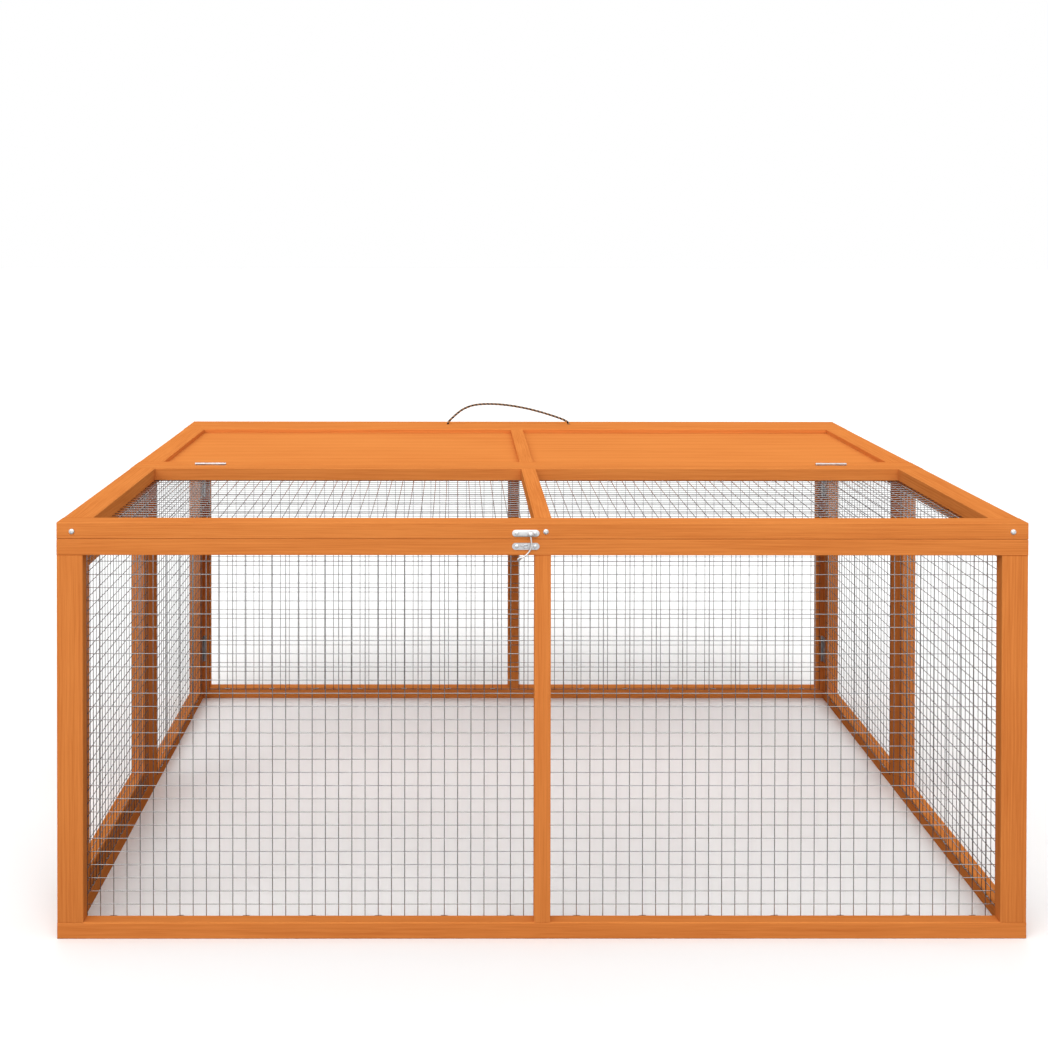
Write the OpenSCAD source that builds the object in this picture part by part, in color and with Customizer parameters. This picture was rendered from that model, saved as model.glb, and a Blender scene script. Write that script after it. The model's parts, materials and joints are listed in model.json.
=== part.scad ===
// Folding outdoor run for rabbits.
// Four mesh-covered wooden walls stand straight on the grass and carry a flat
// roof. The roof's front half is a mesh lid hinged to its solid rear half, and
// a rear board with a rope handle closes it. Each side wall is two half panels
// that fold inwards on butt hinges, so the front wall travels back to the rear
// wall. The left front half holds a hinged door with a turn button, and two
// hooks hold the lid down.
// Origin: centre of the footprint, on the ground. +X right, +Y rear, +Z up.

/* [Run] */
// Width over the long walls
run_w = 1190; // [1000:10:1400]
// Depth from the front face to the rear face
run_d = 970; // [880:10:1150]
// Height from the ground to the top of the roof
run_h = 512; // [420:4:640]

/* [Wall frames] */
// Thickness of every wall frame
wall_t = 20; // [18:1:26]
// Height of the top and bottom rails
rail_h = 20; // [18:1:36]
// Width of the stiles at the ends of a frame
stile_w = 32; // [28:1:45]
// Width of the centre stile of a long wall
mid_stile_w = 20; // [14:1:40]
// Flat of the eased long edges
arris = 0.8; // [0.3:0.1:2]
// Gap between frames that part from each other
seam = 0.4; // [0.3:0.05:0.8]

/* [Roof] */
// Thickness of the roof frames
lid_t = 20; // [18:1:26]
// Depth of the hinged front half
front_half = 450.4; // [400:0.2:500]
// Width of the roof's front and rear rails
lid_rail_w = 32; // [26:1:44]
// Width of the roof's side rails
lid_side_w = 37; // [30:1:50]
// Width of the bar down the middle of each half
lid_bar_w = 21.5; // [19:0.5:40]
// Offset of that bar from the centre line
lid_bar_x = 2; // [-20:1:20]
// Depth of the rear board
rear_board_w = 77; // [60:1:110]
// Thickness of the roof panels
panel_t = 6; // [4:0.5:7]
// Drop of the panels below the top of the roof
panel_drop = 7; // [3:0.5:8]
// Depth of the grooves that hold the panels
groove = 7; // [4:0.5:8]

/* [Welded mesh] */
// Spacing of the wires
mesh_pitch = 16.4; // [12:0.1:25]
// Thickness of one wire
wire_d = 1; // [0.8:0.1:1.4]
// Sideways shift of the long sheets
mesh_shift_x = 2.6; // [-3:0.1:3]
// Upward shift of the wall sheets
mesh_shift_z = 1; // [-3:0.1:3]

/* [Side door] */
// Width of the door's rails and stiles
door_w = 29; // [26:1:40]
// Gap round the door at its sides
door_gap = 1.5; // [1:0.1:2.5]
// Gap under the door
door_foot = 3; // [1.5:0.1:6]
// Gap over the door
door_head = 2.2; // [2:0.1:5]
// Length of a door hinge
door_hinge_l = 38; // [30:1:50]
// Height of the door hinges' axis above the wood
door_proud = 1.8; // [1.7:0.1:2]
// Radius of their knuckles
door_knuckle_r = 1.5; // [1.4:0.1:1.6]
// Radius of their pins
door_pin_r = 0.7; // [0.5:0.05:0.75]
// Width of their leaves from the axis
door_leaf_w = 13; // [10:1:16]
// Distance of the door hinges from the door's ends
door_hinge_in = 42; // [30:1:80]
// Length of the turn button
button_l = 38; // [34:1:44]
// Width of the turn button
button_w = 11; // [8:0.5:13]

/* [Hinges] */
// Length of a hinge
hinge_l = 47; // [36:1:60]
// Height of the hinge axis above the wood
hinge_proud = 2.5; // [2.4:0.1:4]
// Radius of the knuckles
knuckle_r = 2.2; // [1.9:0.1:2.3]
// Radius of the pin
pin_r = 1.1; // [0.8:0.1:1.3]
// Width of a leaf from the axis
leaf_w = 15; // [10:1:17]
// Thickness of a leaf
leaf_t = 1; // [0.8:0.1:1.2]
// Height of the lower wall hinges
hinge_low = 70; // [40:5:120]
// Distance of the upper wall hinges from the wall's top
hinge_top = 70; // [30:5:120]
// Height of the roof hinges' axis above the roof
roof_proud = 1.9; // [1.8:0.1:2.5]
// Radius of the roof hinges' knuckles
roof_knuckle_r = 1.6; // [1.5:0.1:1.8]
// Radius of the roof hinges' pins
roof_pin_r = 0.8; // [0.6:0.05:0.9]
// Distance of the left roof hinge's middle from the left end
roof_hinge_l = 115; // [70:0.5:250]
// Distance of the right roof hinge's middle from the right end
roof_hinge_r = 130.5; // [70:0.5:250]

/* [Hook latches] */
// Length of a latch plate
plate_l = 33.6; // [26:0.2:44]
// Height of a latch plate
plate_h = 8.4; // [7:0.2:9]
// Thickness of a latch plate
plate_t = 1.2; // [0.8:0.1:1.6]
// Radius of the hook wire
hook_r = 1; // [0.8:0.1:1.3]
// Radius of the hook's bend
hook_bend = 14.6; // [11:0.2:17]
// Distance of the hook wire's middle from the wood
hook_out = 6; // [5.4:0.1:7]
// Distance between the middles of the two plates
latch_gap = 15.9; // [13:0.1:17]
// Middle of the front latch from the centre line, to the left
front_latch_x = 21; // [15:1:300]
// Front latch: middle of its upper plate above the lid's underside
front_latch_up = 7.2; // [5:0.1:12]
// Side latch: middle of its plates from the front face
side_latch_y = 355; // [150:1:410]
// Side latch: middle of its upper plate above the lid's underside
side_latch_up = 11.2; // [5:0.1:11.4]

/* [Rope handle] */
// Diameter of the rope
rope_d = 4; // [3:0.5:5]
// Radius of the holes for the rope
rope_hole_r = 3; // [2.8:0.1:4]
// Radius of the recesses for the knots
knot_hole_r = 6.5; // [6:0.5:9]
// Depth of the recesses for the knots
knot_hole_d = 11; // [10:0.5:13]
// Distance of the rope's holes from the rear face
rope_in = 38; // [24:1:44]

/* [Hidden] */

wood = [0.86, 0.52, 0.28];
ply = [0.93, 0.57, 0.26];
steel = [0.76, 0.77, 0.78];
zinc = [0.62, 0.63, 0.64];
cord = [0.60, 0.47, 0.33];

e = 0.01;
wall_h = run_h - lid_t;             // underside of the roof
open_h = wall_h - 2 * rail_h;       // height of a frame's opening
hx = run_w / 2;                     // half width
hy = run_d / 2;                     // half depth
panel_l = hy - wall_t - 1.5 * seam; // length of a side half panel
wire_gap = 0.02;                    // the two wire layers nearly touch
mesh_t = 2 * wire_d + wire_gap;
mesh_lap = 3;                       // lap of the long sheets on the end stiles
mesh_lap_in = 6;                    // lap of the sheets on every other member
stub = 1;                           // cut ends of the wires
pin_gap = 0.1;                      // running clearance of a pin
knuckle_gap = 0.3;                  // clearance between and round knuckles

corner_x = hx - wall_t - hinge_proud; // axes of the corner hinges
corner_y = hy - wall_t - hinge_proud;
fold_x = hx + hinge_proud;            // axes of the fold hinges, at mid depth
roof_axis_y = -hy + front_half + seam / 2;
hinge_z = [hinge_low, wall_h - hinge_top - hinge_l];
roof_hinge_x = [-hx + roof_hinge_l, hx - roof_hinge_r];

rear_y0 = roof_axis_y + seam / 2;     // fixed rear half of the roof
rear_y1 = hy - rear_board_w;
panel_z = wall_h + lid_t - panel_drop - panel_t;

// ---------------------------------------------------------------- timber

// Cross-section with eased edges
module eased(a, b) {
  c = arris;
  polygon([[c, 0], [a - c, 0], [a, c], [a, b - c],
           [a - c, b], [c, b], [0, b - c], [0, c]]);
}

// Straight bars from the origin, named by the direction of their grain
module bar_x(s) rotate([90, 0, 90]) linear_extrude(s.x) eased(s.y, s.z);
module bar_y(s) translate([0, s.y, 0]) rotate([90, 0, 0])
  linear_extrude(s.y) eased(s.x, s.z);
module bar_z(s) linear_extrude(s.z) eased(s.x, s.y);

// Mortise in the edge of a roof rail for the leaf of a roof hinge
module roof_mortise(side) {
  for (x = roof_hinge_x)
    translate([x - hinge_l / 2 - knuckle_gap,
               side > 0 ? rear_y0 - e : rear_y0 - seam - leaf_t,
               run_h - leaf_w + roof_proud - knuckle_gap])
      cube([hinge_l + 2 * knuckle_gap, leaf_t + e, leaf_w + 5]);
}

// ------------------------------------------------------------ welded mesh

function wires(open, lap) = floor((open + 2 * lap) / mesh_pitch) + 1;

// One layer of wires: n rungs a pitch apart across x, joined by two rails
// that lie m - 1 pitches apart. The rungs end in stubs just past the rails,
// and the rails run on to the next wire's line on both sides.
module ladder(n, m) {
  p = mesh_pitch;
  w = wire_d / 2;
  l = (m - 1) * p;
  x1 = (n - 1) * p;
  far = p + stub;
  outline = concat(
    [[-far, w], [-far, -w]],
    [for (i = [0 : n - 1]) each
      [[i * p - w, -w], [i * p - w, -stub], [i * p + w, -stub], [i * p + w, -w]]],
    [[x1 + far, -w], [x1 + far, w], [x1 + w, w], [x1 + w, l - w],
     [x1 + far, l - w], [x1 + far, l + w]],
    [for (i = [n - 1 : -1 : 0]) each
      [[i * p + w, l + w], [i * p + w, l + stub], [i * p - w, l + stub],
       [i * p - w, l + w]]],
    [[-far, l + w], [-far, l - w], [-w, l - w], [-w, w]]);
  gaps = [for (i = [0 : n - 2]) each
    [[i * p + w, w], [(i + 1) * p - w, w], [(i + 1) * p - w, l - w],
     [i * p + w, l - w]]];
  k = len(outline);
  linear_extrude(wire_d)
    polygon(concat(outline, gaps),
            concat([[for (i = [0 : k - 1]) i]],
                   [for (i = [0 : n - 2]) [for (j = [0 : 3]) k + 4 * i + j]]));
}

// Sheet of nx by ny wires centred on the origin, standing on z = 0. The
// first layer holds the wires along x, the second those along y, and each
// layer also carries the outermost wires of the other, so all is welded.
module sheet(nx, ny) {
  p = mesh_pitch;
  sx = (nx - 1) * p / 2;
  sy = (ny - 1) * p / 2;
  translate([sx, -sy + p, 0]) rotate(90) ladder(ny - 2, nx);
  translate([-sx + p, -sy, wire_d + wire_gap]) ladder(nx - 2, ny);
}

// ----------------------------------------------------------------- hinges

// One leaf of a butt hinge of length l, with knuckles of radius r, a pin of
// radius p and leaves w wide. The axis is z, the leaf runs along +x from it,
// with its back at y = o, and outer knuckles carry the pin.
module leaf(o, outer, l = hinge_l, r = knuckle_r, p = pin_r, w = leaf_w) {
  k = l / 3;
  g = knuckle_gap;
  own = outer ? [[0, k - g / 2], [2 * k + g / 2, l]]
              : [[k + g / 2, 2 * k - g / 2]];
  difference() {
    union() {
      translate([r + g, o, 0]) cube([w - r - g, leaf_t, l]);
      for (s = own) {
        translate([0, o, s[0]]) cube([r + g + e, leaf_t, s[1] - s[0]]);
        translate([0, 0, s[0]]) cylinder(r = r, h = s[1] - s[0], $fn = 32);
      }
      if (outer) cylinder(r = p, h = l, $fn = 24);
    }
    if (!outer)
      translate([0, 0, -e]) cylinder(r = p + pin_gap, h = l + 1, $fn = 24);
  }
}

// Leaves screwed on a face, at both heights of a wall joint
module wall_leaf(outer)
  for (z = hinge_z) translate([0, 0, z]) leaf(-hinge_proud, outer);

// Corner hinges at the left end of a long wall: its own leaves (outer), or
// those on the side panel. s is -1 at the front and 1 at the rear.
module corner_leaf(s, outer)
  mirror([0, s > 0 ? 1 : 0, 0])
    translate([-corner_x, -corner_y, 0])
      if (outer) mirror([1, 0, 0]) wall_leaf(true);
      else mirror([1, -1, 0]) wall_leaf(false);

// Fold hinges of the left wall, on the rear half (outer) or the front half
module fold_leaf(outer)
  translate([-fold_x, 0, 0]) rotate(90)
    if (outer) wall_leaf(true);
    else mirror([1, 0, 0]) wall_leaf(false);

// ------------------------------------------------------------ side panels

module left_or_right(right) mirror([right ? 1 : 0, 0, 0]) children();
module front_or_rear(rear) mirror([0, rear ? 1 : 0, 0]) children();

panel_y0 = -hy + wall_t + seam;

module side_rail(top)
  color(wood) translate([-hx, panel_y0, top ? wall_h - rail_h : 0])
    bar_y([wall_t, panel_l, rail_h - (top ? seam : 0)]);

module corner_stile()
  color(wood) difference() {
    translate([-hx, panel_y0, rail_h]) bar_z([wall_t, stile_w, open_h]);
    // room for the long wall's leaves
    for (z = hinge_z)
      translate([-corner_x - leaf_w - knuckle_gap, panel_y0 - e,
                 z - knuckle_gap])
        cube([leaf_w, leaf_t + e, hinge_l + 2 * knuckle_gap]);
  }

module mid_stile()
  color(wood) translate([-hx, -seam / 2 - stile_w, rail_h])
    bar_z([wall_t, stile_w, open_h]);

module side_mesh()
  color(zinc)
    translate([-hx + wall_t, panel_y0 + panel_l / 2,
               wall_h / 2 + mesh_shift_z])
      rotate([90, 0, 90])
        sheet(wires(panel_l - 2 * stile_w, mesh_lap_in),
              wires(open_h, mesh_lap_in));

// -------------------------------------------------------------- long walls

module long_rail(y, top, clear)
  color(wood) translate([-hx, y, top ? wall_h - rail_h : 0])
    bar_x([run_w, wall_t, rail_h - (top ? clear : 0)]);
module long_stile(x, y, w)
  color(wood) translate([x, y, rail_h]) bar_z([w, wall_t, open_h]);
module long_mesh()
  color(zinc)
    translate([mesh_shift_x, -hy + wall_t, wall_h / 2 + mesh_shift_z])
      mirror([0, 1, 0]) rotate([90, 0, 0])
        sheet(wires(run_w - 2 * stile_w, mesh_lap),
              wires(open_h, mesh_lap_in));

module rear_top_rail() long_rail(hy - wall_t, true, 0);
module rear_bottom_rail() long_rail(hy - wall_t, false, 0);
module rear_left_stile() long_stile(-hx, hy - wall_t, stile_w);
module rear_right_stile() long_stile(hx - stile_w, hy - wall_t, stile_w);
module rear_centre_stile()
  long_stile(-mid_stile_w / 2, hy - wall_t, mid_stile_w);
module rear_mesh() mirror([0, 1, 0]) long_mesh();

module front_top_rail() long_rail(-hy, true, seam);
module front_bottom_rail() long_rail(-hy, false, seam);
module front_left_stile() long_stile(-hx, -hy, stile_w);
module front_right_stile() long_stile(hx - stile_w, -hy, stile_w);
module front_centre_stile() long_stile(-mid_stile_w / 2, -hy, mid_stile_w);
module front_mesh() long_mesh();

// -------------------------------------------------------------------- roof

side_l = front_half - 2 * lid_rail_w; // between the lid's two long rails
rear_side_l = rear_y1 - rear_y0 - 2 * lid_rail_w;
lid_nx = wires(run_w - 2 * lid_side_w, 12);
lid_ny = wires(side_l, mesh_lap_in);
lid_y = -hy + front_half / 2;
lid_sheet_z = wall_h + 0.3;

// Recess under the lid for its mesh
module lid_recess()
  translate([mesh_shift_x - ((lid_nx - 1) * mesh_pitch / 2 + stub + 0.6),
             lid_y - ((lid_ny - 1) * mesh_pitch / 2 + stub + 0.6), wall_h - e])
    cube([(lid_nx - 1) * mesh_pitch + 2 * stub + 1.2,
          (lid_ny - 1) * mesh_pitch + 2 * stub + 1.2,
          lid_sheet_z - wall_h + mesh_t + e]);

module lid_front_rail()
  color(wood) difference() {
    translate([-hx, -hy, wall_h]) bar_x([run_w, lid_rail_w, lid_t]);
    lid_recess();
  }
module lid_rear_rail()
  color(wood) difference() {
    translate([-hx, -hy + front_half - lid_rail_w, wall_h])
      bar_x([run_w, lid_rail_w, lid_t]);
    lid_recess();
    roof_mortise(-1);
  }
module lid_side(x, w)
  color(wood) difference() {
    translate([x, -hy + lid_rail_w, wall_h]) bar_y([w, side_l, lid_t]);
    lid_recess();
  }
module lid_left_rail() lid_side(-hx, lid_side_w);
module lid_right_rail() lid_side(hx - lid_side_w, lid_side_w);
module lid_centre_bar() lid_side(lid_bar_x - lid_bar_w / 2, lid_bar_w);
module lid_mesh()
  color(zinc) translate([mesh_shift_x, lid_y, lid_sheet_z])
    sheet(lid_nx, lid_ny);

// Solid panels of the rear half, and the grooves that hold them
module roof_panel(right, g) {
  x0 = right ? lid_bar_x + lid_bar_w / 2 : -hx + lid_side_w;
  x1 = right ? hx - lid_side_w : lid_bar_x - lid_bar_w / 2;
  d = groove - 0.5 + g;
  translate([x0 - d, rear_y0 + lid_rail_w - d, panel_z - g / 3])
    cube([x1 - x0 + 2 * d, rear_side_l + 2 * d, panel_t + 2 * g / 3]);
}
module grooves() for (right = [false, true]) roof_panel(right, 0.5);

module roof_front_rail()
  color(wood) difference() {
    translate([-hx, rear_y0, wall_h]) bar_x([run_w, lid_rail_w, lid_t]);
    grooves();
    roof_mortise(1);
  }
module roof_rear_rail()
  color(wood) difference() {
    translate([-hx, rear_y1 - lid_rail_w, wall_h])
      bar_x([run_w, lid_rail_w, lid_t]);
    grooves();
  }
module roof_side(x, w)
  color(wood) difference() {
    translate([x, rear_y0 + lid_rail_w, wall_h])
      bar_y([w, rear_side_l, lid_t]);
    grooves();
  }
module roof_left_rail() roof_side(-hx, lid_side_w);
module roof_right_rail() roof_side(hx - lid_side_w, lid_side_w);
module roof_centre_bar() roof_side(lid_bar_x - lid_bar_w / 2, lid_bar_w);
module roof_panels()
  color(ply) for (right = [false, true]) roof_panel(right, 0);

// Leaves of the roof hinges, let into the edges of the two middle rails
module roof_leaf(rear)
  for (x = roof_hinge_x)
    translate([x - hinge_l / 2, roof_axis_y, run_h + roof_proud])
      mirror([0, rear ? 0 : 1, 0]) rotate([0, 90, 0])
        leaf(seam / 2, rear, r = roof_knuckle_r, p = roof_pin_r);
module lid_hinges() color(steel) roof_leaf(false);
module base_hinges()
  color(steel) {
    roof_leaf(true);
    for (m = [false, true]) left_or_right(m) corner_leaf(1, true);
  }

// ------------------------------------------------------------- rope handle

rope_y = hy - rope_in;
// Route of the rope in x and z, up through the board, over and down again,
// with the radius of the rope, or of its knots, at each point. z counts
// from the top of the rear board.
rope_left = -122;
rope_right = 101;
rope_r = rope_d / 2;
knot_r = 4.6;
knot = [[-17.3, 1], [-16, 3.4], [-14, knot_r], [-12, knot_r], [-10.2, 3.2],
        [-9.4, rope_r], [-6, rope_r], [-2, rope_r]];
arch = [[-121.4, 2], [-118.8, 6.4], [-110.5, 14.5], [-102, 22], [-92, 28.5],
        [-78, 34], [-61, 36.7], [-42, 37.2], [-21, 36], [2, 33], [26, 28.3],
        [49, 22.4], [73, 15], [88, 9.6], [96.4, 5.6], [100.2, 1.6]];
route = concat(
  [for (k = knot) [rope_left, k[0], k[1]]],
  [for (a = arch) [a[0], a[1], rope_r]],
  [for (i = [len(knot) - 1 : -1 : 0]) [rope_right, knot[i][0], knot[i][1]]]);
rope_sides = 8;

// Round tube through the points [x, z, radius] in the plane y = rope_y
module rope_tube(p) {
  n = len(p);
  s = rope_sides;
  dir = [for (i = [0 : n - 1])
    let (a = p[max(i - 1, 0)], b = p[min(i + 1, n - 1)],
         d = [b[0] - a[0], b[1] - a[1]]) d / norm(d)];
  ring = [for (i = [0 : n - 1]) for (j = [0 : s - 1])
    let (t = 360 * j / s, c = p[i][2] * cos(t), h = p[i][2] * sin(t))
      [p[i][0] - dir[i][1] * c, rope_y + h, run_h + p[i][1] + dir[i][0] * c]];
  side = [for (i = [0 : n - 2]) for (j = [0 : s - 1])
    let (a = i * s + j, b = i * s + (j + 1) % s) each
      [[a, b, b + s], [a, b + s, a + s]]];
  ends = [for (j = [1 : s - 2]) each
    [[0, j + 1, j], [(n - 1) * s, (n - 1) * s + j, (n - 1) * s + j + 1]]];
  polyhedron(ring, concat(side, ends));
}
module rope_handle() color(cord) rope_tube(route);

module rear_board()
  color(wood) difference() {
    translate([-hx, rear_y1, wall_h]) bar_x([run_w, rear_board_w, lid_t]);
    for (x = [rope_left, rope_right]) translate([x, rope_y, wall_h - e]) {
      cylinder(r = rope_hole_r, h = lid_t + 1, $fn = 32);
      cylinder(r = knot_hole_r, h = knot_hole_d + e, $fn = 48);
    }
  }

// ------------------------------------------------------------ hook latches
// Drawn as seen from the front: x to the right from the middle of the
// plates, -y outwards from the wood, z from the lid's underside.

shank_x = 5.9;    // the hook's straight part from the middle of the plates
shank_l = 14.2;   // from the pivot down to the bend
bend_a = 60;
tip_l = 6;
neck_r = 1.3;
ring_r = neck_r + 0.3;
ring_t = 2 * hook_r + 0.4; // the hook's eye, a little thicker than its wire
ring_gap = 0.2;            // its play between the rivet's shoulder and head

module plate(z) {
  r = plate_h / 2;
  c = plate_l / 2 - r;
  translate([0, 0, z]) rotate([90, 0, 0]) linear_extrude(plate_t)
    polygon([for (k = [0 : 12]) [c + r * cos(-90 + 15 * k), r * sin(-90 + 15 * k)],
             for (k = [0 : 12]) [-c + r * cos(90 + 15 * k), r * sin(90 + 15 * k)]]);
}
// Upper plate with the rivet that the hook turns on
module upper_plate(up) {
  plate(up);
  translate([shank_x, e - plate_t, up]) rotate([90, 0, 0]) {
    under = hook_out - ring_t / 2 - ring_gap - plate_t + e;
    over = under + ring_t + 2 * ring_gap;
    cylinder(r = ring_r + 0.9, h = under, $fn = 32);
    cylinder(r = neck_r, h = over + 0.5, $fn = 24);
    translate([0, 0, over]) cylinder(r1 = 3.2, r2 = 2.1, h = 1.6, $fn = 32);
  }
}
// Lower plate with its eye
module lower_plate(z) {
  plate(z);
  translate([0, -plate_t - 0.5, z]) rotate([90, 0, 0])
    rotate_extrude($fn = 36) translate([2.3, 0]) circle(r = 0.8, $fn = 16);
}
module hook(up) {
  w = hook_r;
  translate([shank_x, -hook_out, up]) {
    rotate([90, 0, 0]) difference() {
      cylinder(r = ring_r + 2 * w, h = ring_t, center = true, $fn = 36);
      cylinder(r = ring_r, h = ring_t + 2, center = true, $fn = 36);
    }
    // shank, bend and tip
    translate([0, 0, -shank_l])
      cylinder(r = w + 0.02, h = shank_l - ring_r - w, $fn = 24);
    translate([-hook_bend, 0, -shank_l]) rotate([90, 0, 0]) {
      rotate(-bend_a) rotate_extrude(angle = bend_a, $fn = 96)
        translate([hook_bend, 0]) circle(r = w, $fn = 24);
      rotate(-bend_a) translate([hook_bend, 0, 0]) rotate([90, 0, 0])
        cylinder(r = w, h = tip_l, $fn = 24);
      // flattened end
      rotate(-bend_a) translate([hook_bend, -tip_l, -0.6])
        linear_extrude(1.2)
          polygon([[-0.8 * w, 2], [0.8 * w, 2], [1.8, 0], [1.8, -3.2],
                   [0.8, -4.6], [-0.8, -4.6], [-1.8, -3.2], [-1.8, 0]]);
    }
  }
}

module front_latch() translate([-front_latch_x, -hy, wall_h]) children();
module side_latch()
  translate([-hx, -hy + side_latch_y, wall_h]) rotate(-90) children();

module lid_screw(x)
  translate([x, -hy, wall_h + lid_t / 2 - 1]) rotate([90, 0, 0])
    cylinder(r1 = 3.5, r2 = 2.4, h = 1.6, $fn = 32);

module lid_fittings()
  color(steel) {
    front_latch() upper_plate(front_latch_up);
    side_latch() upper_plate(side_latch_up);
    // the middle screw is driven a little off the bar's middle
    for (x = [-hx + lid_side_w / 2, lid_bar_x + 1.7, hx - lid_side_w / 2])
      lid_screw(x);
  }
module front_hook() color(steel) front_latch() hook(front_latch_up);
module side_hook() color(steel) side_latch() hook(side_latch_up);

// --------------------------------------------------------------- side door
// A framed door in the left front half, with its mesh on its inner face. It
// opens outwards on two hinges at the corner stile.

door_y0 = panel_y0 + stile_w + door_gap;
door_y1 = panel_y0 + panel_l - stile_w - door_gap;
door_z0 = rail_h + door_foot;
door_z1 = wall_h - rail_h - door_head;
door_l = door_y1 - door_y0;
door_h = door_z1 - door_z0;
door_lap_y = 0.76 * door_w;       // laps of the mesh on the door's stiles
door_lap_z = door_w - stub - 0.8; // and on its rails

module left_door_rails()
  color(wood) for (z = [door_z0, door_z1 - door_w])
    translate([-hx, door_y0, z]) bar_y([wall_t, door_l, door_w]);
module left_door_stiles()
  color(wood) for (y = [door_y0, door_y1 - door_w])
    translate([-hx, y, door_z0 + door_w])
      bar_z([wall_t, door_w, door_h - 2 * door_w]);
module left_door_mesh()
  color(zinc)
    translate([-hx + wall_t, door_y0 + door_l / 2, door_z0 + door_h / 2])
      rotate([90, 0, 90])
        sheet(wires(door_l - 2 * door_w, door_lap_y),
              wires(door_h - 2 * door_w, door_lap_z));

// Leaves of the door's hinges, on the panel's stile (outer) or on the door
module door_leaf(outer)
  for (z = [door_z0 + door_hinge_in, door_z1 - door_hinge_in - door_hinge_l])
    translate([-hx - door_proud, door_y0 - door_gap / 2, z])
      rotate(90) mirror([outer ? 1 : 0, 0, 0])
        leaf(-door_proud, outer, door_hinge_l, door_knuckle_r, door_pin_r,
             door_leaf_w);
module left_door_hinges() color(steel) door_leaf(false);

// Turn button on the middle stile: it hangs down, and a quarter turn lays it
// over the door. x is up along the stile and z outwards from the wood.
washer_t = 0.8;
button_t = 1.5;
button_play = 0.1;
screw_r = 1.9;
module button_place()
  translate([-hx, -seam / 2 - stile_w / 2, door_z0 + door_h / 2])
    rotate([0, -90, 0]) children();
module door_button()
  color(steel) button_place() difference() {
    r = button_w / 2;
    translate([0, 0, washer_t + button_play]) linear_extrude(button_t)
      polygon([for (k = [0 : 12]) [r * sin(15 * k), r * cos(15 * k)],
               for (k = [0 : 12]) [button_w - button_l - r * sin(15 * k),
                                   -r * cos(15 * k)]]);
    translate([0, 0, -e]) cylinder(r = screw_r + 0.2, h = 5, $fn = 32);
  }
// Its washer and screw
module button_screw() button_place() {
  head = washer_t + button_t + 2 * button_play;
  cylinder(r = 4.5, h = washer_t, $fn = 32);
  cylinder(r = screw_r, h = head + 0.5, $fn = 24);
  translate([0, 0, head]) cylinder(r1 = 3.7, r2 = 2.7, h = 1.1, $fn = 32);
}

// ---------------------------------------------------- fittings of the walls

module front_fittings()
  color(steel) {
    for (m = [false, true]) left_or_right(m) corner_leaf(-1, true);
    front_latch() lower_plate(front_latch_up - latch_gap);
  }
module left_front_fittings()
  color(steel) {
    panel_leaves();
    side_latch() lower_plate(side_latch_up - latch_gap);
    door_leaf(true);
    button_screw();
  }
// Leaves of a front half panel, drawn for the left one
module panel_leaves() { corner_leaf(-1, false); fold_leaf(false); }
module right_front_hinges()
  color(steel) left_or_right(true) panel_leaves();
module left_rear_hinges()
  color(steel) { corner_leaf(1, false); fold_leaf(true); }

rear_top_rail();
rear_bottom_rail();
rear_left_stile();
rear_right_stile();
rear_centre_stile();
rear_mesh();
rear_board();
rope_handle();
roof_front_rail();
roof_rear_rail();
roof_left_rail();
roof_right_rail();
roof_centre_bar();
roof_panels();
base_hinges();
lid_front_rail();
lid_rear_rail();
lid_left_rail();
lid_right_rail();
lid_centre_bar();
lid_mesh();
lid_hinges();
lid_fittings();
front_hook();
side_hook();
front_top_rail();
front_bottom_rail();
front_left_stile();
front_right_stile();
front_centre_stile();
front_mesh();
front_fittings();
side_rail(true);  // left_front_top_rail
side_rail(false);  // left_front_bottom_rail
corner_stile();  // left_front_corner_stile
mid_stile();  // left_front_mid_stile
left_front_fittings();
left_door_rails();
left_door_stiles();
left_door_mesh();
left_door_hinges();
door_button();
front_or_rear(true) side_rail(true);  // left_rear_top_rail
front_or_rear(true) side_rail(false);  // left_rear_bottom_rail
front_or_rear(true) corner_stile();  // left_rear_corner_stile
front_or_rear(true) mid_stile();  // left_rear_mid_stile
front_or_rear(true) side_mesh();  // left_rear_mesh
left_rear_hinges();
left_or_right(true) side_rail(true);  // right_front_top_rail
left_or_right(true) side_rail(false);  // right_front_bottom_rail
left_or_right(true) corner_stile();  // right_front_corner_stile
left_or_right(true) mid_stile();  // right_front_mid_stile
left_or_right(true) side_mesh();  // right_front_mesh
right_front_hinges();
left_or_right(true) front_or_rear(true) side_rail(true);  // right_rear_top_rail
left_or_right(true) front_or_rear(true) side_rail(false);  // right_rear_bottom_rail
left_or_right(true) front_or_rear(true) corner_stile();  // right_rear_corner_stile
left_or_right(true) front_or_rear(true) mid_stile();  // right_rear_mid_stile
left_or_right(true) front_or_rear(true) side_mesh();  // right_rear_mesh
left_or_right(true) left_rear_hinges();  // right_rear_hinges
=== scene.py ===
"""Looks of a folding outdoor run for rabbits.

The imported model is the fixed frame: stained wooden frames, hinges and latches at
their real size. This file gives the wood, metal and rope their finish, and adds
what repeats: the round welded wires, staples and screws, the laid rope with its
knots, and the bent and pressed parts of the latches. It is laid out as an add-on
and is run as a script. Sizes are in metres, in the model's own frame: +X right,
+Y rear, +Z up, with the origin on the ground under the middle of the run.
"""

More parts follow.
